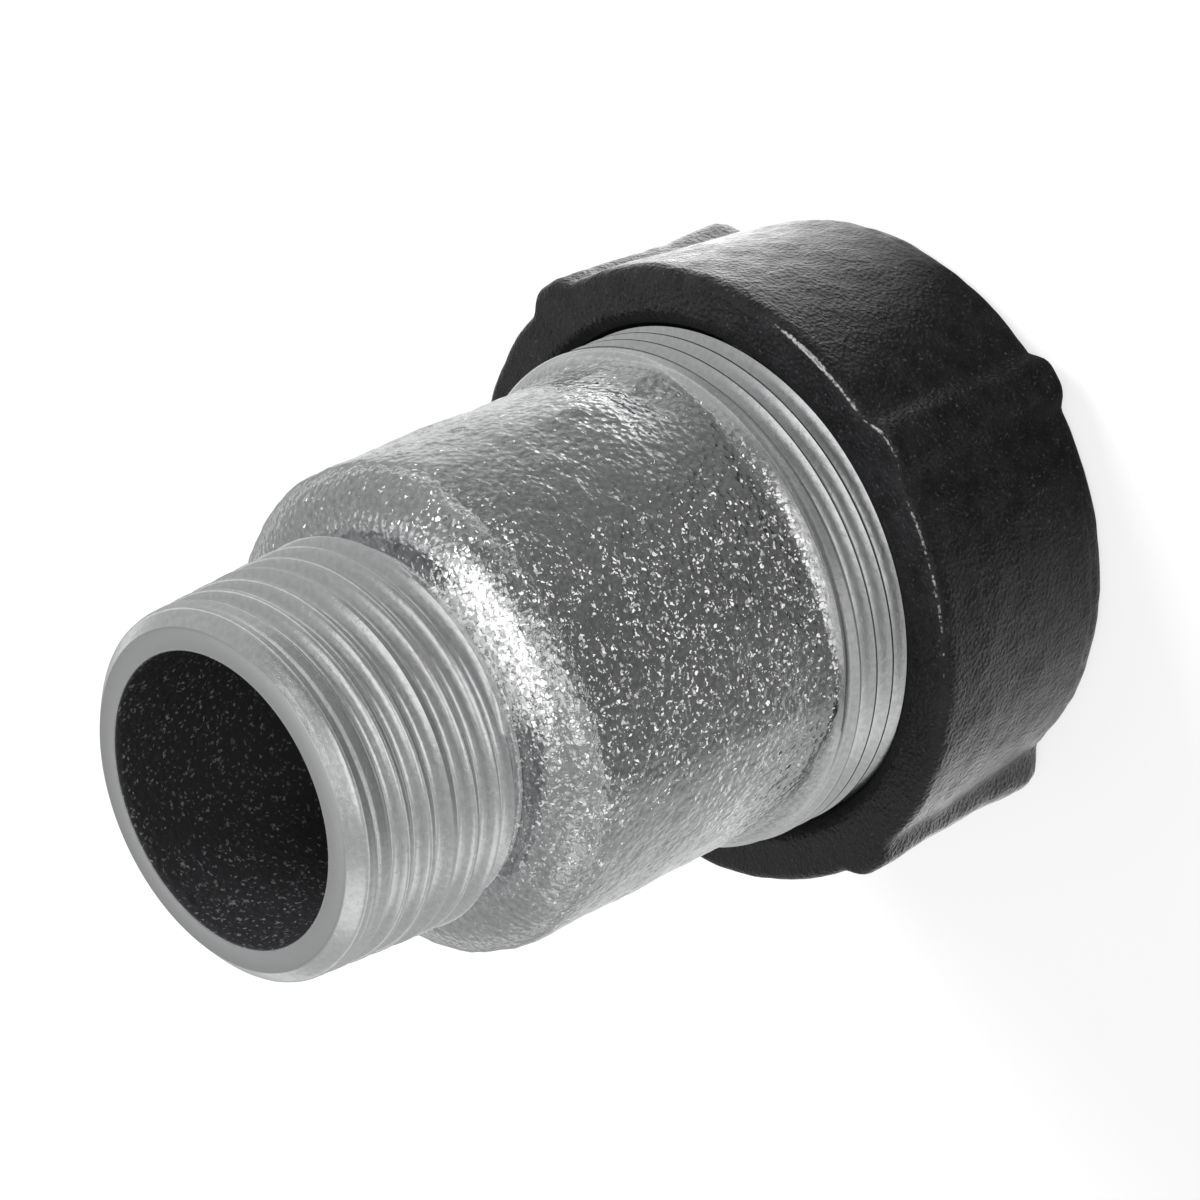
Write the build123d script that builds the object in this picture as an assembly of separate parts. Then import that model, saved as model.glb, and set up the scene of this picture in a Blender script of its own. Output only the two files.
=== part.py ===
from build123d import *
from math import atan, cos, degrees, pi, radians, sin, tan
import os

# Compression coupling for a plain-ended steel pipe, with a taper male thread at the other end.
# Millimetres, +Z up. It stands on the nut's outer end: the origin is the middle of that face,
# the axis is Z, and the male thread points up. One rib of the nut points along +X.

# The pipe that the coupling grips, and the room round it in every ring that it passes
pipe_diameter = 33.7
socket_clearance = 0.45
ring_clearance = 0.55
entry_clearance = 0.75

# Flank and crest of both threads
thread_flank_angle = 27.5
thread_crest_flat = 0.35

# Male pipe thread: taper 1 in 16, 11 turns to the inch, major diameter given at the gauge plane
male_thread_pitch = 2.309
male_thread_depth = 1.40
gauge_diameter = 33.249
gauge_length = 10.4
taper_on_radius = 1 / 32
male_end_length = 18.6
male_neck_length = 1.2
male_neck_depth = 0.1
male_thread_runout = 1.5
male_face_diameter = 29.1
male_chamfer_height = 1.3
male_lead_diameter = 31.9
male_thread_start = 3.2
male_crest_angle = -76.7
male_crest_distance = 5.3

# Cast body: a waterway, a four-sided barrel with bulged sides, and a collar for the nut's thread.
# Each wall is measured from the pipe socket's bore.
waterway_diameter = 25.2
waterway_length = 23.0
pipe_stop_chamfer = 2.2
barrel_length = 31.2
barrel_side_wall = 3.7
barrel_corner_wall = 4.8
barrel_corner_rounding = 3.0
shoulder_wall = 5.1
shoulder_rounding = 6.6
collar_wall = 5.2
collar_length = 12.1
collar_chamfer = 1.6
collar_plain_length = 0.6
collar_thread_pitch = 2.0
collar_thread_depth_ratio = 0.7
collar_end_chamfer = 1.5
collar_crest_angle = -86.7
collar_crest_distance = 54.6
mouth_wall = 1.5
mouth_depth = 2.6

# Nut: a tapered shell with four ribs, a cone that squeezes the clamp ring, and a bore that
# clears the collar's thread, whose own fine thread isn't modelled
nut_length = 23.4
nut_front_wall = 4.1
nut_back_wall = 4.6
nut_back_rounding = 2.6
nut_front_rounding = 0.9
nut_mouth_step = 0.95
nut_mouth_chamfer = 0.5
nut_end_wall = 4.5
collar_side_gap = 0.35
chamber_step = 0.2
nut_end_clearance = 0.4
tighten_travel = 2.5
rib_count = 4
rib_width = 4.6
rib_rise_front = 1.1
rib_rise_back = 1.8
rib_foot_depth = 1.0
rib_end_inset = 1.6
rib_rounding = 1.6

# Loose rings in the nut, from its end wall up: split clamp ring, pressure washer, rubber seal
ring_seat_gap = 0.3
clamp_ring_height = 6.0
clamp_ring_cone_height = 3.6
clamp_ring_cone_angle = 28.0
clamp_ring_side_gap = 0.5
clamp_ring_split = 5.0
tooth_count = 3
tooth_depth = 0.7
tooth_land = 0.4
washer_thickness = 1.5
washer_side_gap = 0.4
seal_gap = 0.2
seal_band_height = 4.4
seal_nose_height = 1.6
seal_side_gap = 0.6

# How far a cutter reaches past the face that it cuts through
overshoot = 2.0
thread_kink = 0.12

# Radii shared by pieces that fit each other
pipe_radius = pipe_diameter / 2
socket_radius = pipe_radius + socket_clearance
ring_radius = pipe_radius + ring_clearance
entry_radius = pipe_radius + entry_clearance
waterway_radius = waterway_diameter / 2
barrel_side_radius = socket_radius + barrel_side_wall
barrel_corner_radius = socket_radius + barrel_corner_wall
shoulder_radius = socket_radius + shoulder_wall
collar_radius = socket_radius + collar_wall
collar_thread_depth = collar_thread_pitch * collar_thread_depth_ratio
collar_root_radius = collar_radius - collar_thread_depth
nut_bore_radius = collar_radius + collar_side_gap
chamber_radius = collar_root_radius + chamber_step
mouth_radius = collar_root_radius - mouth_wall
nut_mouth_radius = nut_bore_radius + nut_mouth_step
nut_front_radius = nut_mouth_radius + nut_front_wall
nut_back_radius = chamber_radius + nut_back_wall
half_flank = tan(radians(thread_flank_angle))

# Heights of the stack inside the nut, and of the body above it
ring_bottom = nut_end_wall + ring_seat_gap
washer_bottom = ring_bottom + clamp_ring_height
seal_bottom = washer_bottom + washer_thickness + seal_gap
seal_band_top = seal_bottom + seal_band_height
body_bottom = seal_band_top + seal_gap
barrel_bottom = body_bottom + collar_length
shoulder_top = barrel_bottom + barrel_length
body_top = shoulder_top + male_end_length


def male_major_radius(station):
    """Crest radius of the taper thread at a distance down from the male end face."""
    return gauge_diameter / 2 + (station - gauge_length) * taper_on_radius


def turned(points):
    """Solid of revolution about Z from a closed outline of (radius, height) points."""
    outline = make_face(Plane.XZ * Polyline(*points, close=True))
    return revolve(outline, Axis.Z)


def groove_cutter(crest_radius, pitch, depth, low, high, crest_angle, crest_height, taper=0.0):
    """Right-hand helical cutter for the groove between the crests of a thread.

    The thread has a crest at crest_angle and crest_height, and the groove runs half a pitch
    above it.
    """
    width = (pitch - thread_crest_flat) / 2
    root = width - depth * half_flank
    edge = width + thread_kink * half_flank
    groove_height = crest_height + pitch / 2
    start_angle = crest_angle + 360 * (low - groove_height) / pitch
    helix = Helix(
        pitch=pitch,
        height=high - low,
        radius=crest_radius,
        center=(0, 0, low),
        cone_angle=taper,
    )
    outline = [
        (-depth, -root),
        (thread_kink, -edge),
        (overshoot, -edge),
        (overshoot, edge),
        (thread_kink, edge),
        (-depth, root),
    ]
    section = Plane(origin=helix @ 0, x_dir=(1, 0, 0), z_dir=helix % 0)
    profile = section * make_face(Polyline(*outline, close=True))
    return Rot(0, 0, start_angle) * sweep(profile, path=helix, is_frenet=True)


def barrel():
    """Four bulged sides with soft corners, rounded in to the male neck above."""
    arcs = []
    for quarter in range(4):
        start, middle, finish = [
            (reach * cos(radians(90 * quarter + turn)), reach * sin(radians(90 * quarter + turn)))
            for reach, turn in (
                (barrel_corner_radius, -45), (barrel_side_radius, 0), (barrel_corner_radius, 45)
            )
        ]
        arcs.append(ThreePointArc(start, middle, finish))
    outline = make_face(Curve() + arcs)
    outline = fillet(outline.vertices(), barrel_corner_rounding)
    prism = Pos(0, 0, barrel_bottom) * extrude(outline, barrel_length)
    return prism & shoulder_envelope()


def shoulder_envelope():
    """Turned form that rounds the barrel's upper end in to the male neck."""
    radius = shoulder_radius
    inner = radius - shoulder_rounding
    round_start = shoulder_top - shoulder_rounding
    diagonal = shoulder_rounding * cos(radians(45))
    straight = Polyline((inner, shoulder_top), (0, shoulder_top), (0, barrel_bottom), (radius, barrel_bottom))
    side = Line((radius, barrel_bottom), (radius, round_start))
    midpoint = (inner + diagonal, round_start + diagonal)
    bend = ThreePointArc((radius, round_start), midpoint, (inner, shoulder_top))
    outline = make_face(Plane.XZ * (Curve() + [straight, side, bend]))
    return revolve(outline, Axis.Z)


def male_end():
    """Taper-threaded end, with a chamfered face and a neck where the thread runs out."""
    neck_top = shoulder_top + male_neck_length
    thread_low = shoulder_top + male_thread_runout
    neck_radius = male_major_radius(male_end_length) - male_thread_depth - male_neck_depth
    low_radius = male_major_radius(body_top - neck_top)
    blank = turned([
        (0, shoulder_top - overshoot),
        (neck_radius, shoulder_top - overshoot),
        (neck_radius, neck_top),
        (low_radius, neck_top + (low_radius - neck_radius) / 2),
        (male_lead_diameter / 2, body_top - male_chamfer_height),
        (male_face_diameter / 2, body_top),
        (0, body_top),
    ])
    cutter = groove_cutter(
        crest_radius=male_major_radius(body_top - thread_low),
        pitch=male_thread_pitch,
        depth=male_thread_depth,
        low=thread_low,
        high=body_top - male_thread_start,
        crest_angle=male_crest_angle,
        crest_height=body_top - male_crest_distance,
        taper=-degrees(atan(taper_on_radius)),
    )
    return blank - cutter


def collar():
    """Collar that carries the nut's thread, chamfered where it stands up from the barrel."""
    blank = turned([
        (0, body_bottom),
        (collar_radius - collar_end_chamfer, body_bottom),
        (collar_radius, body_bottom + collar_end_chamfer),
        (collar_radius, barrel_bottom),
        (collar_radius - collar_chamfer, barrel_bottom + collar_chamfer),
        (0, barrel_bottom + collar_chamfer),
    ])
    cutter = groove_cutter(
        crest_radius=collar_radius,
        pitch=collar_thread_pitch,
        depth=collar_thread_depth,
        low=body_bottom - collar_thread_pitch / 2,
        high=barrel_bottom - collar_plain_length - collar_thread_pitch / 2,
        crest_angle=collar_crest_angle,
        crest_height=body_top - collar_crest_distance,
    )
    return blank - cutter


def body_bore():
    """Waterway, pipe stop, pipe socket and the flared mouth that the seal's nose fits."""
    stop_height = body_top - waterway_length
    return turned([
        (0, body_bottom - overshoot),
        (mouth_radius, body_bottom - overshoot),
        (mouth_radius, body_bottom),
        (socket_radius, body_bottom + mouth_depth),
        (socket_radius, stop_height - pipe_stop_chamfer),
        (waterway_radius + pipe_stop_chamfer, stop_height - pipe_stop_chamfer),
        (waterway_radius, stop_height),
        (waterway_radius, body_top + overshoot),
        (0, body_top + overshoot),
    ])


def coupling_body():
    """The cast body: male end, barrel and collar in one piece, bored through."""
    return (barrel() + male_end() + collar()) - body_bore()


def nut_shell():
    """Tapered outside of the nut, rounded at both ends."""
    shell = turned([(0, 0), (nut_back_radius, 0), (nut_front_radius, nut_length), (0, nut_length)])
    rims = shell.edges().filter_by(GeomType.CIRCLE).sort_by(Axis.Z)
    shell = fillet(rims[0], nut_back_rounding)
    rims = shell.edges().filter_by(GeomType.CIRCLE).sort_by(Axis.Z)
    return fillet(rims[-1], nut_front_rounding)


def nut_rib():
    """One grip rib, low at the nut's front and proud at its back, with rounded edges."""
    foot = nut_back_radius - rib_foot_depth
    outline = make_face(Plane.XZ * Polyline(
        (foot, rib_end_inset),
        (nut_back_radius + rib_rise_back, rib_end_inset),
        (nut_front_radius + rib_rise_front, nut_length),
        (foot, nut_length),
        close=True,
    ))
    rib = extrude(outline, rib_width / 2, both=True)
    crest = rib.faces().sort_by(Axis.X)[-1]
    return fillet(crest.edges(), rib_rounding)


def nut_hollow():
    """Pipe entry, squeezing cone, ring chamber, bore over the collar and open mouth."""
    cone_slope = tan(radians(clamp_ring_cone_angle))
    cone_gap = ring_seat_gap / cos(radians(clamp_ring_cone_angle))
    ring_side = chamber_radius - clamp_ring_side_gap
    ledge_radius = ring_side - (clamp_ring_cone_height + ring_seat_gap) * cone_slope + cone_gap
    cone_top = nut_end_wall + (chamber_radius - ledge_radius) / cone_slope
    bore_low = body_bottom - tighten_travel - nut_end_clearance
    return turned([
        (0, -overshoot),
        (entry_radius, -overshoot),
        (entry_radius, nut_end_wall),
        (ledge_radius, nut_end_wall),
        (chamber_radius, cone_top),
        (chamber_radius, bore_low),
        (nut_bore_radius, bore_low),
        (nut_bore_radius, nut_length - nut_mouth_chamfer),
        (nut_mouth_radius, nut_length),
        (nut_mouth_radius, nut_length + overshoot),
        (0, nut_length + overshoot),
    ])


def compression_nut():
    """Cast nut with its ribs, hollowed for the pipe, the rings and the collar."""
    nut = nut_shell()
    for rib in PolarLocations(0, rib_count):
        nut += rib * nut_rib()
    return nut - nut_hollow()


def clamp_ring():
    """Split ring with gripping teeth in its bore and a cone outside at its lower end."""
    outer = chamber_radius - clamp_ring_side_gap
    cone_low = outer - clamp_ring_cone_height * tan(radians(clamp_ring_cone_angle))
    tooth_pitch = clamp_ring_height / tooth_count
    root = ring_radius + tooth_depth
    outline = [
        (cone_low, ring_bottom),
        (outer, ring_bottom + clamp_ring_cone_height),
        (outer, washer_bottom),
    ]
    for tooth in range(tooth_count):
        tip_top = washer_bottom - tooth * tooth_pitch
        outline += [
            (ring_radius, tip_top),
            (ring_radius, tip_top - tooth_land),
            (root, tip_top - tooth_pitch + tooth_land),
        ]
    outline.append((root, ring_bottom))
    split_reach = clamp_ring_height + overshoot
    split = Pos(0, outer, ring_bottom) * Box(clamp_ring_split, 2 * outer, 2 * split_reach)
    return turned(outline) - split


def pressure_washer():
    """Flat steel washer between the clamp ring and the seal."""
    outer = chamber_radius - washer_side_gap
    return turned([
        (ring_radius, washer_bottom),
        (outer, washer_bottom),
        (outer, washer_bottom + washer_thickness),
        (ring_radius, washer_bottom + washer_thickness),
    ])


def rubber_seal():
    """Seal ring: a square band below and a nose that follows the body's flared mouth."""
    outer = chamber_radius - seal_side_gap
    mouth_slope = (mouth_radius - socket_radius) / mouth_depth
    nose_base = mouth_radius - 2 * seal_gap
    nose_tip = nose_base - seal_nose_height * mouth_slope
    return turned([
        (ring_radius, seal_bottom),
        (outer, seal_bottom),
        (outer, seal_band_top),
        (nose_base, seal_band_top),
        (nose_tip, seal_band_top + seal_nose_height),
        (ring_radius, seal_band_top + seal_nose_height),
    ])


os.makedirs("parts", exist_ok=True)
pieces = {
    "coupling_body": coupling_body(),
    "compression_nut": compression_nut(),
    "clamp_ring": clamp_ring(),
    "pressure_washer": pressure_washer(),
    "rubber_seal": rubber_seal(),
}
for name, piece in pieces.items():
    export_step(piece, f"parts/{name}.step")
    print(name, round(piece.volume, 1), len(piece.solids()), piece.is_valid)
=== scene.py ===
import math

import bpy
import numpy as np
from mathutils import Matrix, Vector, noise


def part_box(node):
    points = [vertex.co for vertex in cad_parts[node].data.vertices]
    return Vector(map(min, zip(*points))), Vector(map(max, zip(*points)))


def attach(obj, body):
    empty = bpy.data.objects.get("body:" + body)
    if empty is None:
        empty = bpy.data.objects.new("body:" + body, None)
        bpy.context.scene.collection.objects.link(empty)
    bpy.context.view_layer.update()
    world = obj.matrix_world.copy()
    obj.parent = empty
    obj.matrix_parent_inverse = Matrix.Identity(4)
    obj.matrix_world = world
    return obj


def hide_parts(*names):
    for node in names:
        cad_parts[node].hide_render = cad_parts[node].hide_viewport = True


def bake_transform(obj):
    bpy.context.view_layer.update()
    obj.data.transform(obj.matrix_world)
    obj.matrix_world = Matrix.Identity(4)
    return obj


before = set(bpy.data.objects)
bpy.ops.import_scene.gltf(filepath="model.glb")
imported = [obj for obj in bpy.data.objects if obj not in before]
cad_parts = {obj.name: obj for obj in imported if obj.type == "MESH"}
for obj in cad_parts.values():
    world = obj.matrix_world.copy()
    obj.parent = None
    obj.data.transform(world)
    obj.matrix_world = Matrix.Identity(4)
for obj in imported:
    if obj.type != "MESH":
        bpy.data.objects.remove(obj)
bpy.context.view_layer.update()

bl_info = {
    "name": "Compression pipe coupling",
    "version": (1, 0, 0),
    "blender": (4, 5, 0),
    "location": "3D Viewport > Sidebar > Coupling",
    "description": "Dresses a galvanised pipe coupling with its black ribbed nut, rings and a plain studio",
    "category": "Object",
}

BODY_LOW, BODY_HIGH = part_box("coupling_body")
NUT_LOW, NUT_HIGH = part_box("compression_nut")
SEAL_LOW, SEAL_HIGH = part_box("rubber_seal")
MM = 0.001
TURN = 2 * math.pi
MERGE_DISTANCE = 0.01 * MM


class CouplingSizes(bpy.types.PropertyGroup):
    """Sizes of the threads, the barrel and the ribs that a user would change."""

    columns: bpy.props.IntProperty(
        name="Columns", description="Vertices round the body", default=360, min=60)
    nut_columns: bpy.props.IntProperty(
        name="Nut columns", description="Vertices round the nut", default=440, min=60)
    rows_per_pitch: bpy.props.IntProperty(
        name="Rows per pitch", description="Rows along one turn of a thread", default=12, min=6)
    male_pitch: bpy.props.FloatProperty(
        name="Male pitch", description="Height of one turn of the male thread", default=2.309 * MM,
        subtype="DISTANCE", unit="LENGTH", precision=5)
    collar_pitch: bpy.props.FloatProperty(
        name="Collar pitch", description="Height of one turn of the nut's thread", default=2.0 * MM,
        subtype="DISTANCE", unit="LENGTH", precision=5)
    thread_depth: bpy.props.FloatProperty(
        name="Thread depth", description="Depth of the groove below the crest", default=1.4 * MM,
        subtype="DISTANCE", unit="LENGTH", precision=5)
    barrel_side: bpy.props.FloatProperty(
        name="Barrel side", description="Middle of a bulged side from the axis", default=21.0 * MM,
        subtype="DISTANCE", unit="LENGTH", precision=5)
    barrel_corner: bpy.props.FloatProperty(
        name="Barrel corner", description="Soft corner of the barrel from the axis", default=22.1 * MM,
        subtype="DISTANCE", unit="LENGTH", precision=5)
    cast_relief: bpy.props.FloatProperty(
        name="Cast relief", description="Height of the wide dents in the cast skin", default=0.16 * MM,
        subtype="DISTANCE", unit="LENGTH", precision=5)
    rib_width: bpy.props.FloatProperty(
        name="Rib half width", description="Half of a rib, where it falls to the shell", default=2.35 * MM,
        subtype="DISTANCE", unit="LENGTH", precision=5)


class CouplingFinish(bpy.types.PropertyGroup):
    """Colours and grain sizes of the finishes."""

    zinc: bpy.props.FloatVectorProperty(
        name="Zinc", description="Bright galvanised skin", subtype="COLOR", size=4,
        default=(0.72, 0.726, 0.73, 1), min=0, max=1)
    zinc_dull: bpy.props.FloatVectorProperty(
        name="Dull zinc", description="Pits and oxidised patches", subtype="COLOR", size=4,
        default=(0.32, 0.325, 0.33, 1), min=0, max=1)
    bore_black: bpy.props.FloatVectorProperty(
        name="Bore", description="Dark rough casting in the bore", subtype="COLOR", size=4,
        default=(0.028, 0.028, 0.03, 1), min=0, max=1)
    coating: bpy.props.FloatVectorProperty(
        name="Coating", description="Black coating of the nut", subtype="COLOR", size=4,
        default=(0.004, 0.004, 0.0045, 1), min=0, max=1)
    rubber: bpy.props.FloatVectorProperty(
        name="Rubber", description="Moulded seal", subtype="COLOR", size=4,
        default=(0.018, 0.018, 0.018, 1), min=0, max=1)
    grain: bpy.props.FloatProperty(
        name="Cast grain", description="Width of one bump of the cast skin", default=0.5 * MM,
        subtype="DISTANCE", unit="LENGTH", precision=5)


def smooth_step(value):
    """Zero below 0, one above 1, and an even curve between."""
    value = np.clip(value, 0, 1)
    return value * value * (3 - 2 * value)


def soft_max(first, second, softness):
    """The larger of two heights, rounded where they cross."""
    return 0.5 * (first + second + np.sqrt((first - second) ** 2 + softness ** 2))


def soft_min(first, second, softness):
    """The smaller of two heights, rounded where they cross."""
    return -soft_max(-first, -second, softness)


def groove(angle, height, pitch, crest_angle, crest_height, gap_share, crest_soft, root_soft):
    """Depth of a right-hand thread's groove, in mm, and the height of its middle at that angle."""
    turns = (height - crest_height) / pitch - (angle - math.radians(crest_angle)) / TURN
    offset = (turns - np.floor(turns) - 0.5) * pitch
    flank = (gap_share * pitch / 2 - np.abs(offset)) / math.tan(math.radians(27.5))
    depth = sizes().thread_depth / MM
    cut = soft_min(soft_max(flank, np.zeros_like(flank), crest_soft), depth, root_soft)
    return cut, height - offset


def sizes():
    """The sizes in the sidebar."""
    return bpy.context.scene.coupling_sizes


def finish():
    """The finishes in the sidebar."""
    return bpy.context.scene.coupling_finish


def clear_selection():
    """Leaves nothing selected, so that the next operator touches only what is added."""
    bpy.ops.object.select_all(action="DESELECT")


def profile_chain(name, points):
    """One line of vertices in the XZ plane, drawn point by point as (radius, height) in mm."""
    clear_selection()
    bpy.ops.mesh.primitive_plane_add(size=MM)
    chain = bpy.context.object
    chain.name = name
    bpy.ops.object.mode_set(mode="EDIT")
    bpy.ops.mesh.select_all(action="SELECT")
    bpy.ops.mesh.merge(type="CENTER")
    radius, height = points[0]
    bpy.ops.transform.translate(value=(radius * MM, 0, height * MM))
    for (r0, z0), (r1, z1) in zip(points, points[1:]):
        step = {"value": ((r1 - r0) * MM, 0, (z1 - z0) * MM)}
        bpy.ops.mesh.extrude_vertices_move(TRANSFORM_OT_translate=step)
    bpy.ops.object.mode_set(mode="OBJECT")
    return chain


def lathe(name, points, columns):
    """Turns a profile right round the axis."""
    piece = profile_chain(name, points)
    bpy.ops.object.modifier_add(type="SCREW")
    turned = piece.modifiers[-1]
    turned.angle = TURN
    turned.screw_offset = 0
    turned.steps = turned.render_steps = columns
    turned.use_merge_vertices = False
    bpy.ops.object.modifier_apply(modifier=turned.name)
    return piece


def thread_zone(name, radius, pitch, low, high, columns):
    """A band whose rows climb with the thread, pressed flat at both ends to meet the turned bands."""
    per_pitch = sizes().rows_per_pitch
    step = pitch / per_pitch
    rows = int(math.ceil((high - low) / step)) + 2 * per_pitch
    piece = profile_chain(name, [(radius, low - pitch + step * row) for row in range(rows + 1)])
    bpy.ops.object.modifier_add(type="SCREW")
    climb = piece.modifiers[-1]
    climb.angle = TURN
    climb.screw_offset = pitch * MM
    climb.steps = climb.render_steps = columns
    climb.use_merge_vertices = False
    bpy.ops.object.modifier_apply(modifier=climb.name)
    place = read_places(piece)
    place[:, 2] = np.clip(place[:, 2], low * MM, high * MM)
    write_places(piece, place)
    return piece


def read_places(piece):
    """Vertex places as an array in metres."""
    place = np.empty(len(piece.data.vertices) * 3, np.float32)
    piece.data.vertices.foreach_get("co", place)
    return place.reshape(-1, 3).astype(float)


def write_places(piece, place):
    """Moves the vertices to these places."""
    piece.data.vertices.foreach_set("co", place.astype(np.float32).ravel())
    piece.data.update()


def shape_round(piece, radius_at):
    """Gives each vertex the radius that radius_at(angle, height, radius) says, in mm."""
    place = read_places(piece) / MM
    angle = np.arctan2(place[:, 1], place[:, 0])
    radius = radius_at(angle, place[:, 2], np.hypot(place[:, 0], place[:, 1]))
    place[:, 0], place[:, 1] = radius * np.cos(angle), radius * np.sin(angle)
    write_places(piece, place * MM)


def weld(pieces, name, sharp_angle):
    """Joins bands at their shared rings in to one closed skin with outward faces."""
    clear_selection()
    for piece in pieces:
        piece.select_set(True)
    bpy.context.view_layer.objects.active = pieces[0]
    if len(pieces) > 1:
        bpy.ops.object.join()
    skin = bpy.context.view_layer.objects.active
    skin.name = skin.data.name = name
    bpy.ops.object.mode_set(mode="EDIT")
    bpy.ops.mesh.select_all(action="SELECT")
    bpy.ops.mesh.remove_doubles(threshold=MERGE_DISTANCE)
    bpy.ops.mesh.dissolve_degenerate(threshold=MERGE_DISTANCE / 10)
    bpy.ops.mesh.normals_make_consistent(inside=False)
    bpy.ops.object.mode_set(mode="OBJECT")
    bpy.ops.object.shade_smooth_by_angle(angle=math.radians(sharp_angle))
    return skin


def add_relief(skin, weight_at, layers):
    """Moves the skin in and out by layers of (width, height) noise, in mm, where weight_at allows."""
    place = read_places(skin)
    weight = weight_at(place / MM)
    radius = np.maximum(np.hypot(place[:, 0], place[:, 1]), MM)
    move = np.zeros(len(place))
    for index in np.nonzero(weight > 0.01)[0]:
        spot = Vector(place[index])
        for width, rise in layers:
            move[index] += noise.noise(spot / (width * MM)) * rise * MM
    grown = 1 + move * weight / radius
    place[:, 0] *= grown
    place[:, 1] *= grown
    write_places(skin, place)


def paint_zones(skin, zones_at):
    """Stores how cast, dark, worn and speckled each spot is, for the materials to read; the worn rim and the speck
    crowding also carry painted highlights.
    """
    layer = skin.data.color_attributes.new(name="zones", type="FLOAT_COLOR", domain="POINT")
    colour = np.stack(zones_at(read_places(skin) / MM), 1).astype(np.float32)
    layer.data.foreach_set("color", colour.ravel())


def spread(first, last, step):
    """Values from first to last, evenly spaced and no further apart than step."""
    count = max(1, int(math.ceil(abs(last - first) / step)))
    return [first + (last - first) * k / count for k in range(count + 1)]


def arc(centre_radius, centre_height, reach, start, stop, count):
    """Points of a rounded edge as (radius, height), from one angle to another in degrees."""
    angles = [math.radians(start + (stop - start) * k / count) for k in range(count + 1)]
    return [(centre_radius + reach * math.cos(a), centre_height + reach * math.sin(a)) for a in angles]


COLLAR_LOW, COLLAR_TOP = 17.1, 29.2
SHOULDER_TOP, BODY_TOP = 60.4, 79.0
MALE_ZONE = (61.3, 78.2)
COLLAR_ZONE = (17.7, 29.15)
COLLAR_RADIUS = 22.5
COLLAR_CREST = (-86.7, 24.3)
MALE_CREST = (-76.7, 73.7)


def barrel_radius(angle, height):
    """Radius of the cast barrel, four-sided at the collar and rounder towards the shoulder."""
    side, corner = sizes().barrel_side / MM, sizes().barrel_corner / MM
    half_chord = corner * math.sin(math.pi / 4)
    sagitta = side - corner * math.cos(math.pi / 4)
    bulge = (half_chord ** 2 + sagitta ** 2) / (2 * sagitta)
    offset = bulge - side

    def side_arc(turn):
        return -offset * np.cos(turn) + np.sqrt(bulge ** 2 - (offset * np.sin(turn)) ** 2)

    quarter = np.mod(angle + math.pi / 4, math.pi / 2) - math.pi / 4
    radius = soft_min(side_arc(np.abs(quarter)), side_arc(math.pi / 2 - np.abs(quarter)), 0.10)
    rounder = 0.55 * smooth_step((height - 34) / 22)
    radius = radius * (1 - rounder) + 21.45 * rounder
    rise = np.clip(height - (SHOULDER_TOP - 6.6), 0, 6.6)
    envelope = 22.4 - 6.6 + np.sqrt(np.maximum(6.6 ** 2 - rise ** 2, 0))
    radius = np.where(height > 48, soft_min(radius, envelope, 0.5), radius)
    # a hollow where a corner runs in to the collar
    swing = np.mod(angle - math.radians(-47) + math.pi, TURN) - math.pi
    radius = radius - 0.75 * np.exp(-(np.degrees(swing) / 11) ** 2 - ((height - 33.6) / 2.6) ** 2)
    chamfer = COLLAR_RADIUS - (height - COLLAR_TOP)
    return np.where(height < 34, soft_max(radius, chamfer, 0.3), radius)


def body_outside(angle, height, radius):
    """Radius of the body's outside at any height, from the collar's foot to the tip's band."""
    collar_blank = np.interp(height, [COLLAR_LOW, 18.6], [21.0, COLLAR_RADIUS])
    cut, middle = groove(angle, height, sizes().collar_pitch / MM, *COLLAR_CREST, 0.95, 0.1, 0.6)
    cut = cut * smooth_step((29.9 - middle) / 1.9)
    collar = np.minimum(collar_blank, COLLAR_RADIUS - cut)
    barrel = barrel_radius(angle, height)
    barrel = np.where(height < 30.4, soft_min(barrel, COLLAR_RADIUS + 0.05 - cut, 0.12), barrel)
    male_blank = np.interp(height, [60.42, 60.6, 61.6, 62.33, 77.62, 77.8, 79], [15.5, 15.38, 15.38, 16.84, 15.95, 15.83, 14.55])
    cut, middle = groove(angle, height, sizes().male_pitch / MM, *MALE_CREST, 0.87, 0.26, 0.4)
    cut = cut * (1 - 0.65 * smooth_step((middle - 75.4) / 1.2))
    major = 33.249 / 2 + (BODY_TOP - height - 10.4) / 32
    male = np.minimum(male_blank, major - cut)
    out = np.where(height > SHOULDER_TOP + 0.01, male, barrel)
    return np.where(height < COLLAR_TOP - 0.01, collar, out)


def body_profiles():
    """Turned bands of the body's skin: below the collar, barrel and shoulder, tip and inside."""
    low, high = COLLAR_ZONE
    barrel = [(22, z) for z in spread(high, 31.6, 0.3) + spread(31.6, 53.8, 0.5)[1:]]
    barrel += [(r, z) for r, z in arc(15.8, 53.8, 6.6, 0, 90, 16)[1:]]
    barrel += [(15.5, 60.42), (15.4, 60.6), (15.38, 60.9), (15.38, MALE_ZONE[0])]
    tip = [(15.4, MALE_ZONE[1]), (15.1, 78.5), (14.72, 78.83), (14.62, 78.93), (14.45, 79.0)]
    inside = [(13.6, 79.0), (12.85, 79.0), (12.68, 78.94), (12.6, 78.8)]
    inside += [(12.6, z) for z in spread(78.0, 56.6, 2.5)] + [(12.6, 56.0), (14.8, 53.8), (17.3, 53.8)]
    inside += [(17.3, z) for z in spread(52.8, 20.6, 3.5)]
    inside += [(17.3, 19.7), (19.6, COLLAR_LOW), (20.9, COLLAR_LOW)]
    foot = [(21.0, COLLAR_LOW), (21.3, 17.4), (21.6, low)]
    return barrel, tip, inside, foot


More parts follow.
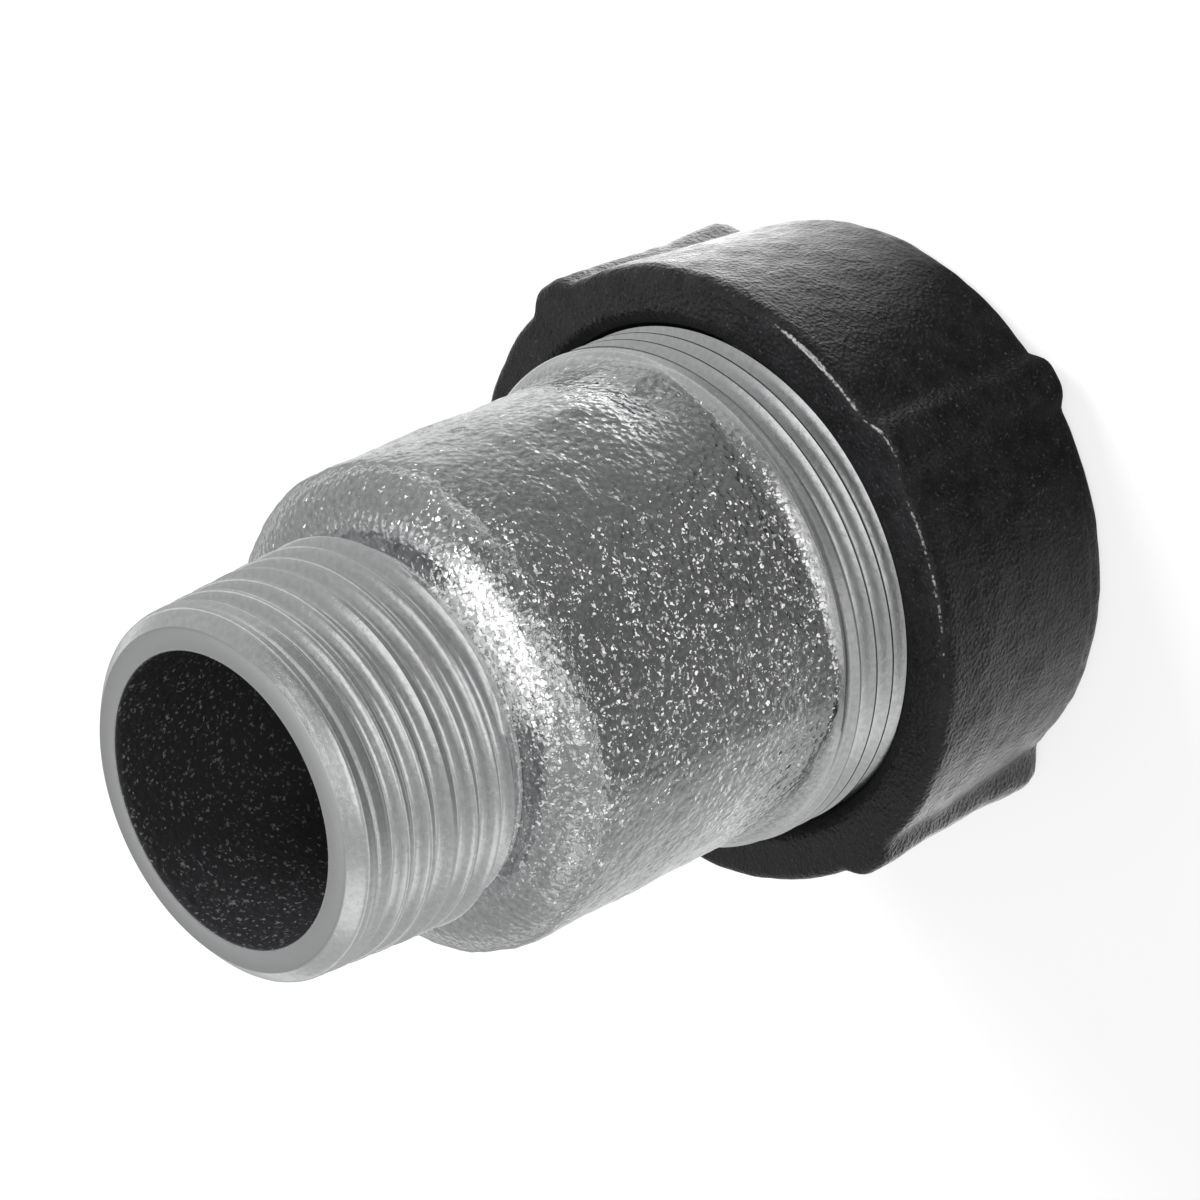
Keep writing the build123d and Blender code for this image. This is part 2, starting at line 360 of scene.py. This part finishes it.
class COUPLING_OT_body(bpy.types.Operator):
    """Models the galvanised body: two threads, a four-sided barrel and a rounded shoulder"""

    bl_idname = "coupling.body"
    bl_label = "Coupling body"

    def execute(self, context):
        columns = sizes().columns
        barrel, tip, inside, foot = body_profiles()
        outer = [
            lathe("barrel_band", barrel, columns),
            thread_zone("collar_thread", COLLAR_RADIUS, sizes().collar_pitch / MM, *COLLAR_ZONE, columns),
            thread_zone("male_thread", 16.0, sizes().male_pitch / MM, *MALE_ZONE, columns),
            lathe("foot_band", foot, columns),
        ]
        for band in outer:
            shape_round(band, body_outside)
        rest = lathe("tip_and_bore", tip[1:] + inside + foot[:1], columns)
        outer.append(lathe("tip_band", tip[:2], columns))
        shape_round(outer[-1], body_outside)
        skin = weld(outer + [rest], "cast_body", 50)

        def cast_weight(place):
            radius = np.hypot(place[:, 0], place[:, 1])
            ends = smooth_step((place[:, 2] - 30.2) / 1.5) * smooth_step((60.2 - place[:, 2]) / 1.2)
            return ends * (radius > 15.6) * (radius > 18.2 - np.clip(place[:, 2] - 57, 0, 3))

        add_relief(skin, cast_weight, [(5.5, sizes().cast_relief / MM), (1.6, 0.10), (0.8, 0.06)])

        def body_zones(place):
            radius = np.hypot(place[:, 0], place[:, 1])
            cast = smooth_step((place[:, 2] - 29.6) / 0.9) * smooth_step((61.4 - place[:, 2]) / 1.2)
            bore = np.where(place[:, 2] > 53, radius < 12.75, radius < 17.4).astype(float)
            face = ((place[:, 2] > 78.9) & (radius > 12.7)).astype(float)
            swing = np.degrees(np.arctan2(place[:, 1], place[:, 0])) + 108
            # Specks crowd on the side facing the camera and below the shoulder; there the white specks are painted
            # glints.
            speck_crowd_and_painted_glints = np.exp(-(swing / 30) ** 4) + smooth_step((place[:, 2] - 53) / 4) * np.exp(-(swing / 62) ** 4)
            # Painted highlight bands of crowded white specks, below the shoulder and above the collar, on the side
            # facing the camera.
            bloom = smooth_step((place[:, 2] - 58.9) / 0.7) * np.exp(-((swing - 20) / 27) ** 4)
            bloom += 0.8 * smooth_step((31.0 - place[:, 2]) / 0.6) * np.exp(-((swing - 4) / 36) ** 4)
            return cast, bore, face, np.clip(speck_crowd_and_painted_glints, 0.12, 1) + 1.6 * bloom

        paint_zones(skin, body_zones)
        skin.data.materials.append(galvanised_material())
        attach(skin, "fitting")
        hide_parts("coupling_body")
        return {"FINISHED"}


NUT_TOP = 23.4
NUT_ZONE = (14.9, 22.3)
NUT_MINOR, NUT_BORE = 21.3, 22.85


def rib_rise(angle, height, radius):
    """Height of the four soft ribs above the shell, proud at the back and low at the front."""
    quarter = np.mod(angle + math.pi / 4, math.pi / 2) - math.pi / 4
    across = np.abs(quarter) * radius / (sizes().rib_width / MM)
    rise = np.interp(height, [0.9, 1.6, 2.4, 4, 9, 16, NUT_TOP], [0, 1.6, 2.35, 2.15, 1.6, 1.3, 1.1])
    return rise * np.exp(-across ** 4)


def nut_outside(angle, height, radius):
    """Adds the ribs to the turned outside, and lets them fade over the front face."""
    on_face = smooth_step((radius - 25.2) / 1.6)
    low_rim = smooth_step((radius - 24.6) / 0.9)
    keep = np.where(height > NUT_TOP - 0.02, on_face, low_rim)
    return radius + rib_rise(angle, height, radius) * keep


def nut_inside(angle, height, radius):
    """Thread in the nut whose groove runs where the collar's crest is."""
    pitch = sizes().collar_pitch / MM
    cut, _ = groove(angle, height, pitch, COLLAR_CREST[0], COLLAR_CREST[1] + pitch / 2, 0.93, 0.08, 0.1)
    mouth = np.interp(height, [14.9, 16.3, 20.9, NUT_ZONE[1]], [NUT_BORE, NUT_MINOR, NUT_MINOR, NUT_BORE])
    return np.minimum(np.maximum(NUT_MINOR + cut, mouth), NUT_BORE)


class COUPLING_OT_nut(bpy.types.Operator):
    """Models the black nut with four ribs, a conical seat and an inner thread"""

    bl_idname = "coupling.nut"
    bl_label = "Compression nut"

    def execute(self, context):
        columns = sizes().nut_columns
        slope = (27.9 - 25.9) / NUT_TOP
        outside = [(r, 0) for r in spread(18.2, 23.2, 1.3)]
        outside += arc(23.35, 2.6, 2.6, -90, 0, 12)
        outside += [(25.95 + slope * z, z) for z in spread(3.2, 22.3, 0.62)]
        outside += arc(26.9, 22.5, 0.9, 5, 90, 8)
        outside += [(r, NUT_TOP) for r in spread(26.4, 24.1, 0.45)] + [(23.8, NUT_TOP - 0.06)]
        outer = lathe("nut_outside", outside, columns)
        shape_round(outer, nut_outside)
        thread = thread_zone("nut_thread", NUT_BORE, sizes().collar_pitch / MM, *NUT_ZONE, columns)
        shape_round(thread, nut_inside)
        mouth = lathe("nut_mouth", [outside[-1], (23.3, 23.1), (NUT_BORE, 22.8), (NUT_BORE, NUT_ZONE[1])], columns)
        hollow = [(NUT_BORE, NUT_ZONE[0]), (NUT_BORE, 14.25), (21.35, 14.2)]
        hollow += [(21.3, z) for z in spread(13.6, 8.6, 1.2)]
        hollow += [(21.3, 8.2), (19.9, 5.6), (19.15, 4.5), (17.75, 4.5), (17.6, 4.35)]
        hollow += [(17.6, z) for z in spread(3.8, 0.6, 1.1)] + [(17.75, 0.1), (18.2, 0)]
        seat = lathe("nut_seat", hollow, columns)
        skin = weld([outer, thread, mouth, seat], "cast_nut", 45)

        def cast_weight(place):
            radius = np.hypot(place[:, 0], place[:, 1])
            return smooth_step((radius - 24.3) / 1.2)

        add_relief(skin, cast_weight, [(4.5, 0.14), (1.5, 0.09)])

        def swell(place):
            angle = np.arctan2(place[:, 1], place[:, 0])
            return rib_rise(angle, place[:, 2], np.full(len(place), 27.4))

        def nut_zones(place):
            radius = np.hypot(place[:, 0], place[:, 1])
            cast = smooth_step((radius - 23.4) / 0.6)
            inside = (radius < 23.3).astype(float)
            angle = np.degrees(np.arctan2(place[:, 1], place[:, 0]))
            # The bright rim line is kept to the angles that face the camera, around -100 and -68 degrees: partly wear,
            # partly a painted highlight.
            painted_rim_highlight = 0.62 * np.exp(-((angle + 100) / 42) ** 4) + 0.9 * np.exp(-((angle + 68) / 8) ** 2)
            beyond = np.hypot(radius - swell(place) - 27.35, place[:, 2] - 23.15)
            rim = np.exp(-(beyond / 0.2) ** 2)
            return cast, inside, rim * painted_rim_highlight, np.ones(len(place))

        paint_zones(skin, nut_zones)
        skin.data.materials.append(coated_material())
        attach(skin, "nut")
        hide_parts("compression_nut")
        return {"FINISHED"}


class COUPLING_OT_seal(bpy.types.Operator):
    """Models the rubber ring that is squeezed between the washer and the body"""

    bl_idname = "coupling.seal"
    bl_label = "Rubber seal"

    def execute(self, context):
        low, high = SEAL_LOW.z / MM, SEAL_HIGH.z / MM
        outer, inner = SEAL_HIGH.x / MM, 17.45
        band = high - 1.6
        section = arc(outer - 0.5, low + 0.5, 0.5, -90, 0, 4) + arc(outer - 0.5, band - 0.5, 0.5, 0, 90, 4)
        section += [(19.15, band), (18.2, high - 0.45), (17.95, high - 0.1), (17.7, high)]
        section += [(inner, high - 0.3), (inner, band), (inner, low + 1.6), (inner, low + 0.4)]
        section += [(inner + 0.3, low), section[0]]
        ring = lathe("seal_ring", section, 160)
        ring = weld([ring], "seal_ring", 60)
        ring.data.materials.append(rubber_material())
        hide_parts("rubber_seal")
        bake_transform(ring)
        return {"FINISHED"}


class COUPLING_OT_rings(bpy.types.Operator):
    """Finishes the toothed clamp ring and the pressure washer"""

    bl_idname = "coupling.rings"
    bl_label = "Clamp ring and washer"

    def execute(self, context):
        for node, colour, rough in (
            ("clamp_ring", (0.33, 0.32, 0.30, 1), 0.34),
            ("pressure_washer", (0.58, 0.59, 0.61, 1), 0.27),
        ):
            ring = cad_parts[node]
            ring.data.materials.clear()
            ring.data.materials.append(turned_steel_material(node, colour, rough))
        return {"FINISHED"}


def new_material(name):
    """An empty node material with its shader, and a helper that adds and joins nodes."""
    material = bpy.data.materials.new(name)
    material.use_nodes = True
    return material, material.node_tree.nodes, material.node_tree.links


def add_node(nodes, kind, **values):
    """Adds a node and sets its inputs by name, and its settings where no input has the name."""
    node = nodes.new(kind)
    for name, value in values.items():
        key = name.replace("_", " ")
        found = [s for s in node.inputs if s.name.lower() == key.lower()]
        if found:
            found[0].default_value = value
        else:
            setattr(node, name, value)
    return node


def group_socket(tree, name, way, kind, value=None):
    """Adds one named input or output to a shader node group."""
    socket = tree.interface.new_socket(name=name, in_out=way, socket_type=kind)
    if value is not None:
        socket.default_value = value
    return socket


def cast_grain_group():
    """Grain of a cast skin: a height for bumps, its raised specks, wide patches and fine mottling."""
    found = bpy.data.node_groups.get("cast_grain")
    if found:
        return found
    tree = bpy.data.node_groups.new("cast_grain", "ShaderNodeTree")
    group_socket(tree, "Vector", "INPUT", "NodeSocketVector")
    group_socket(tree, "Grain", "INPUT", "NodeSocketFloat", 2400.0)
    group_socket(tree, "Roundness", "INPUT", "NodeSocketFloat", 0.6)
    group_socket(tree, "Crowd", "INPUT", "NodeSocketFloat", 0.4)
    group_socket(tree, "Height", "OUTPUT", "NodeSocketFloat")
    group_socket(tree, "Fine", "OUTPUT", "NodeSocketFloat")
    group_socket(tree, "Specks", "OUTPUT", "NodeSocketFloat")
    group_socket(tree, "Patches", "OUTPUT", "NodeSocketFloat")
    nodes, links = tree.nodes, tree.links
    given, out = nodes.new("NodeGroupInput"), nodes.new("NodeGroupOutput")
    scaled = add_node(nodes, "ShaderNodeVectorMath", operation="SCALE")
    links.new(given.outputs["Vector"], scaled.inputs[0])
    links.new(given.outputs["Grain"], scaled.inputs["Scale"])
    fine = add_node(nodes, "ShaderNodeTexNoise", Scale=1.0, Detail=2.0, Roughness=0.5)
    cells = add_node(nodes, "ShaderNodeTexVoronoi", Scale=0.8, feature="SMOOTH_F1", Smoothness=0.6)
    wide = add_node(nodes, "ShaderNodeTexNoise", Scale=0.16, Detail=4.0, Roughness=0.62)
    for texture in (fine, cells, wide):
        links.new(scaled.outputs[0], texture.inputs["Vector"])
    blend = add_node(nodes, "ShaderNodeMix", data_type="FLOAT")
    links.new(given.outputs["Roundness"], blend.inputs[0])
    links.new(fine.outputs[0], blend.inputs[2])
    links.new(cells.outputs["Distance"], blend.inputs[3])
    stretched = add_node(nodes, "ShaderNodeVectorMath", operation="MULTIPLY_ADD")
    stretched.inputs[1].default_value = (1.7, 1.7, 1.7)
    links.new(fine.outputs["Color"], stretched.inputs[0])
    links.new(scaled.outputs[0], stretched.inputs[2])
    grit = add_node(nodes, "ShaderNodeTexVoronoi", Scale=1.45)
    links.new(stretched.outputs[0], grit.inputs["Vector"])
    chance = nodes.new("ShaderNodeSeparateColor")
    links.new(grit.outputs["Color"], chance.inputs[0])
    reach = mix_value(nodes, links, chance.outputs[0], 0.18, 0.62)
    flood = clamped(nodes, links, combine(nodes, links, "SUBTRACT", given.outputs["Crowd"], 0.9))
    reach = combine(nodes, links, "ADD", reach, combine(nodes, links, "MULTIPLY", flood, 0.6))
    round_speck = combine(nodes, links, "SUBTRACT", reach, grit.outputs["Distance"])
    round_speck = clamped(nodes, links, combine(nodes, links, "MULTIPLY", round_speck, 7.0))
    round_speck = combine(nodes, links, "MULTIPLY", round_speck, mix_value(nodes, links, chance.outputs[2], 0.25, 1.0))
    kept = combine(nodes, links, "SUBTRACT", given.outputs["Crowd"], chance.outputs[1])
    kept = clamped(nodes, links, combine(nodes, links, "MULTIPLY", kept, 12.0))
    patches = add_node(nodes, "ShaderNodeMapRange")
    for key, value in (("From Min", 0.38), ("From Max", 0.66)):
        patches.inputs[key].default_value = value
    links.new(wide.outputs[0], patches.inputs["Value"])
    specks = combine(nodes, links, "MULTIPLY", round_speck, kept)
    calm = combine(nodes, links, "MULTIPLY", blend.outputs[0], 0.85)
    steep = combine(nodes, links, "MULTIPLY", specks, 0.35)
    links.new(combine(nodes, links, "ADD", calm, steep), out.inputs["Height"])
    links.new(specks, out.inputs["Specks"])
    links.new(fine.outputs[0], out.inputs["Fine"])
    links.new(patches.outputs[0], out.inputs["Patches"])
    return tree


def place_grain(nodes, links, grain, roundness):
    """Places the cast grain group on Object coordinates."""
    where = nodes.new("ShaderNodeTexCoord")
    group = nodes.new("ShaderNodeGroup")
    group.node_tree = cast_grain_group()
    group.inputs["Grain"].default_value = 1 / grain
    group.inputs["Roundness"].default_value = roundness
    links.new(where.outputs["Object"], group.inputs["Vector"])
    return where, group


def read_zones(nodes, links):
    """The stored zones as four separate masks."""
    stored = add_node(nodes, "ShaderNodeAttribute", attribute_name="zones")
    parts = nodes.new("ShaderNodeSeparateColor")
    links.new(stored.outputs["Color"], parts.inputs[0])
    return parts.outputs[0], parts.outputs[1], parts.outputs[2], stored.outputs["Alpha"]


def mix_colour(nodes, links, factor, first, second):
    """Mixes two colours, each a colour or a socket, by a factor socket."""
    mix = add_node(nodes, "ShaderNodeMix", data_type="RGBA")
    links.new(factor, mix.inputs[0])
    for value, socket in ((first, mix.inputs[6]), (second, mix.inputs[7])):
        if isinstance(value, bpy.types.NodeSocket):
            links.new(value, socket)
        else:
            socket.default_value = value
    return mix.outputs[2]


def mix_value(nodes, links, factor, first, second):
    """Mixes two numbers, each a number or a socket, by a factor socket."""
    mix = add_node(nodes, "ShaderNodeMix", data_type="FLOAT")
    links.new(factor, mix.inputs[0])
    for value, socket in ((first, mix.inputs[2]), (second, mix.inputs[3])):
        if isinstance(value, bpy.types.NodeSocket):
            links.new(value, socket)
        else:
            socket.default_value = value
    return mix.outputs[0]


def combine(nodes, links, operation, first, second):
    """One step of arithmetic on sockets or numbers."""
    math_node = add_node(nodes, "ShaderNodeMath", operation=operation)
    for value, socket in ((first, math_node.inputs[0]), (second, math_node.inputs[1])):
        if isinstance(value, bpy.types.NodeSocket):
            links.new(value, socket)
        else:
            socket.default_value = value
    return math_node.outputs[0]


def clamped(nodes, links, value):
    """Keeps a number between zero and one."""
    clamp = nodes.new("ShaderNodeClamp")
    links.new(value, clamp.inputs["Value"])
    return clamp.outputs[0]


def galvanised_material():
    """Zinc over cast iron: bright machined threads, speckled cast skin, dark bore; white specks are raised grain, and
    where they crowd they are painted glints and painted highlight bands.
    """
    material, nodes, links = new_material("galvanised_iron")
    shader = nodes["Principled BSDF"]
    where, grain = place_grain(nodes, links, finish().grain, 0.55)
    cast, bore, face, speck_crowd_and_painted_glints = read_zones(nodes, links)
    specks, patches, fine = grain.outputs["Specks"], grain.outputs["Patches"], grain.outputs["Fine"]
    crowd = combine(nodes, links, "MULTIPLY", speck_crowd_and_painted_glints, mix_value(nodes, links, patches, 0.9, 0.45))
    links.new(mix_value(nodes, links, bore, crowd, 0.5), grain.inputs["Crowd"])
    cast_tone = mix_colour(nodes, links, fine, tuple(finish().zinc_dull), tuple(finish().zinc))
    # White specks with little metal: raised grain, and painted glints where the zones crowd them.
    bright = combine(nodes, links, "MULTIPLY", specks, cast)
    cast_tone = mix_colour(nodes, links, specks, cast_tone, (0.92, 0.92, 0.92, 1))
    smooth_tone = mix_colour(nodes, links, fine, (0.60, 0.605, 0.61, 1), (0.80, 0.805, 0.81, 1))
    tone = mix_colour(nodes, links, cast, smooth_tone, cast_tone)
    tone = mix_colour(nodes, links, face, tone, (0.50, 0.503, 0.506, 1))
    bore_tone = mix_colour(nodes, links, specks, tuple(finish().bore_black), (0.20, 0.20, 0.205, 1))
    tone = mix_colour(nodes, links, bore, tone, bore_tone)
    links.new(tone, shader.inputs["Base Color"])
    rough = mix_value(nodes, links, patches, 0.24, 0.15)
    rough = mix_value(nodes, links, cast, 0.27, rough)
    rough = mix_value(nodes, links, face, rough, 0.55)
    rough = mix_value(nodes, links, bore, rough, 0.5)
    links.new(rough, shader.inputs["Roughness"])
    metal = mix_value(nodes, links, bright, 1.0, 0.15)
    links.new(mix_value(nodes, links, bore, metal, 0.35), shader.inputs["Metallic"])
    strength = mix_value(nodes, links, cast, 0.10, 1.0)
    strength = mix_value(nodes, links, bore, strength, 0.9)
    height = combine(nodes, links, "MULTIPLY", grain.outputs["Height"], strength)
    bump = add_node(nodes, "ShaderNodeBump", Strength=1.0, Distance=0.20 * MM)
    links.new(height, bump.inputs["Height"])
    links.new(bump.outputs[0], shader.inputs["Normal"])
    return material


def coated_material():
    """Black semi-gloss coating on rough iron, worn to bright metal along the front edge; the bright line is kept to
    the side facing the camera, so it is partly wear and partly painted highlight.
    """
    material, nodes, links = new_material("black_iron")
    shader = nodes["Principled BSDF"]
    where, grain = place_grain(nodes, links, finish().grain * 0.7, 0.4)
    cast, inside, edge, _ = read_zones(nodes, links)
    grain.inputs["Crowd"].default_value = 0.3
    # Bright bare metal along the front rim: worn coating, and a painted highlight where it faces the camera.
    worn = add_node(nodes, "ShaderNodeMapRange")
    for key, value in (("From Min", 0.18), ("From Max", 0.38)):
        worn.inputs[key].default_value = value
    links.new(combine(nodes, links, "MULTIPLY", edge, grain.outputs["Fine"]), worn.inputs["Value"])
    wear_and_painted_highlight = worn.outputs[0]
    tone = mix_colour(nodes, links, grain.outputs["Patches"], tuple(finish().coating), (0.010, 0.010, 0.011, 1))
    flecks = combine(nodes, links, "MULTIPLY", grain.outputs["Specks"], cast)
    tone = mix_colour(nodes, links, flecks, tone, (0.045, 0.045, 0.046, 1))
    shader.inputs["Specular IOR Level"].default_value = 0.32
    tone = mix_colour(nodes, links, wear_and_painted_highlight, tone, (0.62, 0.62, 0.62, 1))
    links.new(tone, shader.inputs["Base Color"])
    rough = mix_value(nodes, links, grain.outputs["Patches"], 0.30, 0.42)
    rough = mix_value(nodes, links, inside, rough, 0.6)
    links.new(rough, shader.inputs["Roughness"])
    links.new(wear_and_painted_highlight, shader.inputs["Metallic"])
    height = combine(nodes, links, "MULTIPLY", grain.outputs["Height"], mix_value(nodes, links, cast, 0.25, 1.0))
    bump = add_node(nodes, "ShaderNodeBump", Strength=1.0, Distance=0.30 * MM)
    links.new(height, bump.inputs["Height"])
    links.new(bump.outputs[0], shader.inputs["Normal"])
    return material


def turned_steel_material(name, colour, rough_value):
    """Turned steel with fine tool lines round the axis and a film of oil."""
    material, nodes, links = new_material(name + "_steel")
    shader = nodes["Principled BSDF"]
    where, grain = place_grain(nodes, links, 0.9 * MM, 0.2)
    lines = add_node(nodes, "ShaderNodeTexWave", bands_direction="Z", Scale=1900.0, Distortion=0.6)
    links.new(where.outputs["Object"], lines.inputs["Vector"])
    darker = tuple(c * 0.55 for c in colour[:3]) + (1,)
    links.new(mix_colour(nodes, links, grain.outputs["Patches"], darker, colour), shader.inputs["Base Color"])
    rough = mix_value(nodes, links, grain.outputs["Patches"], rough_value + 0.14, rough_value)
    links.new(rough, shader.inputs["Roughness"])
    shader.inputs["Metallic"].default_value = 1.0
    bump = add_node(nodes, "ShaderNodeBump", Strength=0.4, Distance=0.02 * MM)
    links.new(lines.outputs["Fac"], bump.inputs["Height"])
    links.new(bump.outputs[0], shader.inputs["Normal"])
    return material


def rubber_material():
    """Moulded black rubber with a faint bloom."""
    material, nodes, links = new_material("seal_rubber")
    shader = nodes["Principled BSDF"]
    where, grain = place_grain(nodes, links, 0.7 * MM, 0.3)
    tone = mix_colour(nodes, links, grain.outputs["Patches"], tuple(finish().rubber), (0.05, 0.05, 0.048, 1))
    links.new(tone, shader.inputs["Base Color"])
    links.new(mix_value(nodes, links, grain.outputs["Patches"], 0.55, 0.75), shader.inputs["Roughness"])
    bump = add_node(nodes, "ShaderNodeBump", Strength=0.3, Distance=0.05 * MM)
    links.new(grain.outputs["Height"], bump.inputs["Height"])
    links.new(bump.outputs[0], shader.inputs["Normal"])
    return material


def shown_white(name, colour, share):
    """A floor or card that stays white in the camera and in reflections, and keeps soft shadows."""
    material, nodes, links = new_material(name)
    shader = nodes["Principled BSDF"]
    shader.inputs["Base Color"].default_value = colour
    shader.inputs["Roughness"].default_value = 0.9
    path = nodes.new("ShaderNodeLightPath")
    seen = combine(nodes, links, "MAXIMUM", path.outputs["Is Camera Ray"], path.outputs["Is Glossy Ray"])
    seen = combine(nodes, links, "MULTIPLY", seen, share)
    glow = add_node(nodes, "ShaderNodeEmission", Color=(1, 1, 1, 1), Strength=1.0)
    mix = nodes.new("ShaderNodeMixShader")
    links.new(seen, mix.inputs[0])
    links.new(shader.outputs[0], mix.inputs[1])
    links.new(glow.outputs[0], mix.inputs[2])
    links.new(mix.outputs[0], nodes["Material Output"].inputs["Surface"])
    return material


def reflection_card(name, centre, facing, width, height, tone):
    """A dark or grey card beside the camera that shows only in reflections on the metal."""
    clear_selection()
    bpy.ops.mesh.primitive_plane_add(size=1.0)
    card = bpy.context.object
    card.name = name
    level = Vector(facing).normalized().z < -0.999
    turn = Matrix() if level else Vector(facing).to_track_quat("Z", "Y").to_matrix().to_4x4()
    card.matrix_world = Matrix.Translation(Vector(centre)) @ turn @ Matrix.Diagonal((width, height, 1, 1))
    material, nodes, links = new_material(name)
    glow = add_node(nodes, "ShaderNodeEmission", Color=(tone, tone, tone, 1), Strength=1.0)
    links.new(glow.outputs[0], nodes["Material Output"].inputs["Surface"])
    card.data.materials.append(material)
    only_in_reflections(card)


NEAR_TONES = ((-180, 1.5), (-110, 0.12), (-60, 0.12), (0, 4.6), (50, 1.2), (110, 1.2), (150, 2.6), (180, 2.0))
FAR_TONES = ((-180, 0.50), (-145, 0.22), (-105, 0.17), (-30, 0.30), (30, 1.1), (115, 1.0), (180, 0.50))


def floor_reflector():
    """A graduated reflector round the object's foot, seen only as reflections in its metal."""
    rows = [(r, 1.0) for r in spread(24, 60, 3) + spread(60, 360, 20)[1:]]
    sheet = weld([lathe("floor_reflector", rows, 120)], "floor_reflector", 60)
    place = read_places(sheet) / MM
    angle = np.degrees(np.arctan2(place[:, 1], place[:, 0]))
    near, far = (np.interp(angle, *zip(*tones)) for tones in (NEAR_TONES, FAR_TONES))
    out = np.hypot(place[:, 0], place[:, 1])
    tone = near + (far - near) * smooth_step((out - 40) / 14)
    tone = tone + (np.minimum(tone, 0.5) - tone) * smooth_step((out - 76) / 16)
    layer = sheet.data.color_attributes.new(name="tone", type="FLOAT_COLOR", domain="POINT")
    colour = np.ones((len(tone), 4), np.float32)
    colour[:, :3] = tone[:, None]
    layer.data.foreach_set("color", colour.ravel())
    material, nodes, links = new_material("floor_reflector")
    stored = add_node(nodes, "ShaderNodeAttribute", attribute_name="tone")
    glow = add_node(nodes, "ShaderNodeEmission", Strength=1.0)
    links.new(stored.outputs["Color"], glow.inputs["Color"])
    links.new(glow.outputs[0], nodes["Material Output"].inputs["Surface"])
    sheet.data.materials.append(material)
    only_in_reflections(sheet)


def only_in_reflections(card):
    """Hides a card from all but glossy rays."""
    card.visible_camera = card.visible_diffuse = card.visible_shadow = False
    card.visible_transmission = card.visible_volume_scatter = False


def area_lamp(name, place, target, size, power):
    """A square soft lamp that points at a spot."""
    lamp = bpy.data.lights.new(name, "AREA")
    lamp.shape, lamp.size, lamp.energy = "SQUARE", size, power
    holder = bpy.data.objects.new(name, lamp)
    bpy.context.scene.collection.objects.link(holder)
    holder.location = Vector(place)
    holder.rotation_euler = (Vector(target) - Vector(place)).to_track_quat("-Z", "Y").to_euler()
    holder.visible_glossy = False
    return holder


class COUPLING_OT_stage(bpy.types.Operator):
    """Adds the pale floor, soft lamps, reflection cards and the camera"""

    bl_idname = "coupling.stage"
    bl_label = "Studio and camera"

    def execute(self, context):
        clear_selection()
        bpy.ops.mesh.primitive_circle_add(vertices=96, radius=3.0, fill_type="NGON")
        floor = bpy.context.object
        floor.name = "floor"
        floor.data.materials.append(shown_white("floor_white", (0.9, 0.9, 0.9, 1), 0.72))
        world = bpy.data.worlds.new("studio")
        context.scene.world = world
        world.use_nodes = True
        nodes, links = world.node_tree.nodes, world.node_tree.links
        path = nodes.new("ShaderNodeLightPath")
        seen = combine(nodes, links, "MAXIMUM", path.outputs["Is Camera Ray"], path.outputs["Is Glossy Ray"])
        level = mix_value(nodes, links, seen, 0.55, 1.0)
        level = mix_value(nodes, links, path.outputs["Is Glossy Ray"], level, 0.5)
        nodes["Background"].inputs[0].default_value = (1, 1, 1, 1)
        links.new(level, nodes["Background"].inputs[1])
        target = (0, 0, 0.04)
        area_lamp("key_lamp", (0.55, -0.05, 0.45), target, 0.35, 7.0)
        area_lamp("fill_lamp", (-0.25, -0.60, 0.70), target, 0.5, 5.0)
        floor_reflector()
        reflection_card("overhead_card", (0, 0, 0.9), (0, 0, -1), 2.6, 2.6, 0.44)
        reflection_card("front_card", (0.3, -0.94, 0.86), (0, 0, -1), 1.6, 1.1, 0.22)
        reflection_card("strip_softbox", (0.10, 0.06, 0.7), (0, 0, -1), 0.52, 0.80, 1.25)
        reflection_card("side_softbox", (-0.26, -0.64, 0.68), (0.26, 0.64, -0.6), 0.70, 0.34, 1.35)
        reflection_card("dark_card", (0.05, -0.75, 0.16), (0, 0.75, -0.1), 0.9, 0.36, 0.20)
        reflection_card("left_softbox", (-0.56, 0.14, 0.42), (0.56, -0.14, -0.38), 0.36, 0.30, 0.95)
        camera = bpy.data.cameras.new("camera")
        holder = bpy.data.objects.new("camera", camera)
        context.scene.collection.objects.link(holder)
        right = Vector((-0.484114, -0.518574, -0.704780))
        up = Vector((0.869356, -0.376440, -0.320178))
        back = right.cross(up)
        turn = Matrix((right, up, back)).transposed().to_4x4()
        holder.matrix_world = Matrix.Translation((-0.045268, -0.366279, 0.336635)) @ turn
        camera.sensor_width, camera.lens = 36.0, 169.282
        camera.clip_start = 0.01
        context.scene.camera = holder
        context.scene.view_settings.view_transform = "Standard"
        return {"FINISHED"}


class COUPLING_PT_panel(bpy.types.Panel):
    """Sizes, finishes and the steps that build the coupling"""

    bl_idname = "COUPLING_PT_panel"
    bl_label = "Pipe coupling"
    bl_space_type = "VIEW_3D"
    bl_region_type = "UI"
    bl_category = "Coupling"

    def draw(self, context):
        for group in (context.scene.coupling_sizes, context.scene.coupling_finish):
            for name in group.bl_rna.properties.keys():
                if name not in ("rna_type", "name"):
                    self.layout.prop(group, name)
        for step in STEPS:
            self.layout.operator(step.bl_idname)


STEPS = (COUPLING_OT_body, COUPLING_OT_nut, COUPLING_OT_seal, COUPLING_OT_rings, COUPLING_OT_stage)
CLASSES = (CouplingSizes, CouplingFinish, *STEPS, COUPLING_PT_panel)


def register():
    for item in CLASSES:
        bpy.utils.register_class(item)
    bpy.types.Scene.coupling_sizes = bpy.props.PointerProperty(type=CouplingSizes)
    bpy.types.Scene.coupling_finish = bpy.props.PointerProperty(type=CouplingFinish)


def unregister():
    del bpy.types.Scene.coupling_sizes
    del bpy.types.Scene.coupling_finish
    for item in reversed(CLASSES):
        bpy.utils.unregister_class(item)


def main():
    register()
    bpy.ops.coupling.body()
    bpy.ops.coupling.nut()
    bpy.ops.coupling.seal()
    bpy.ops.coupling.rings()
    bpy.ops.coupling.stage()


if __name__ == "__main__":
    main()
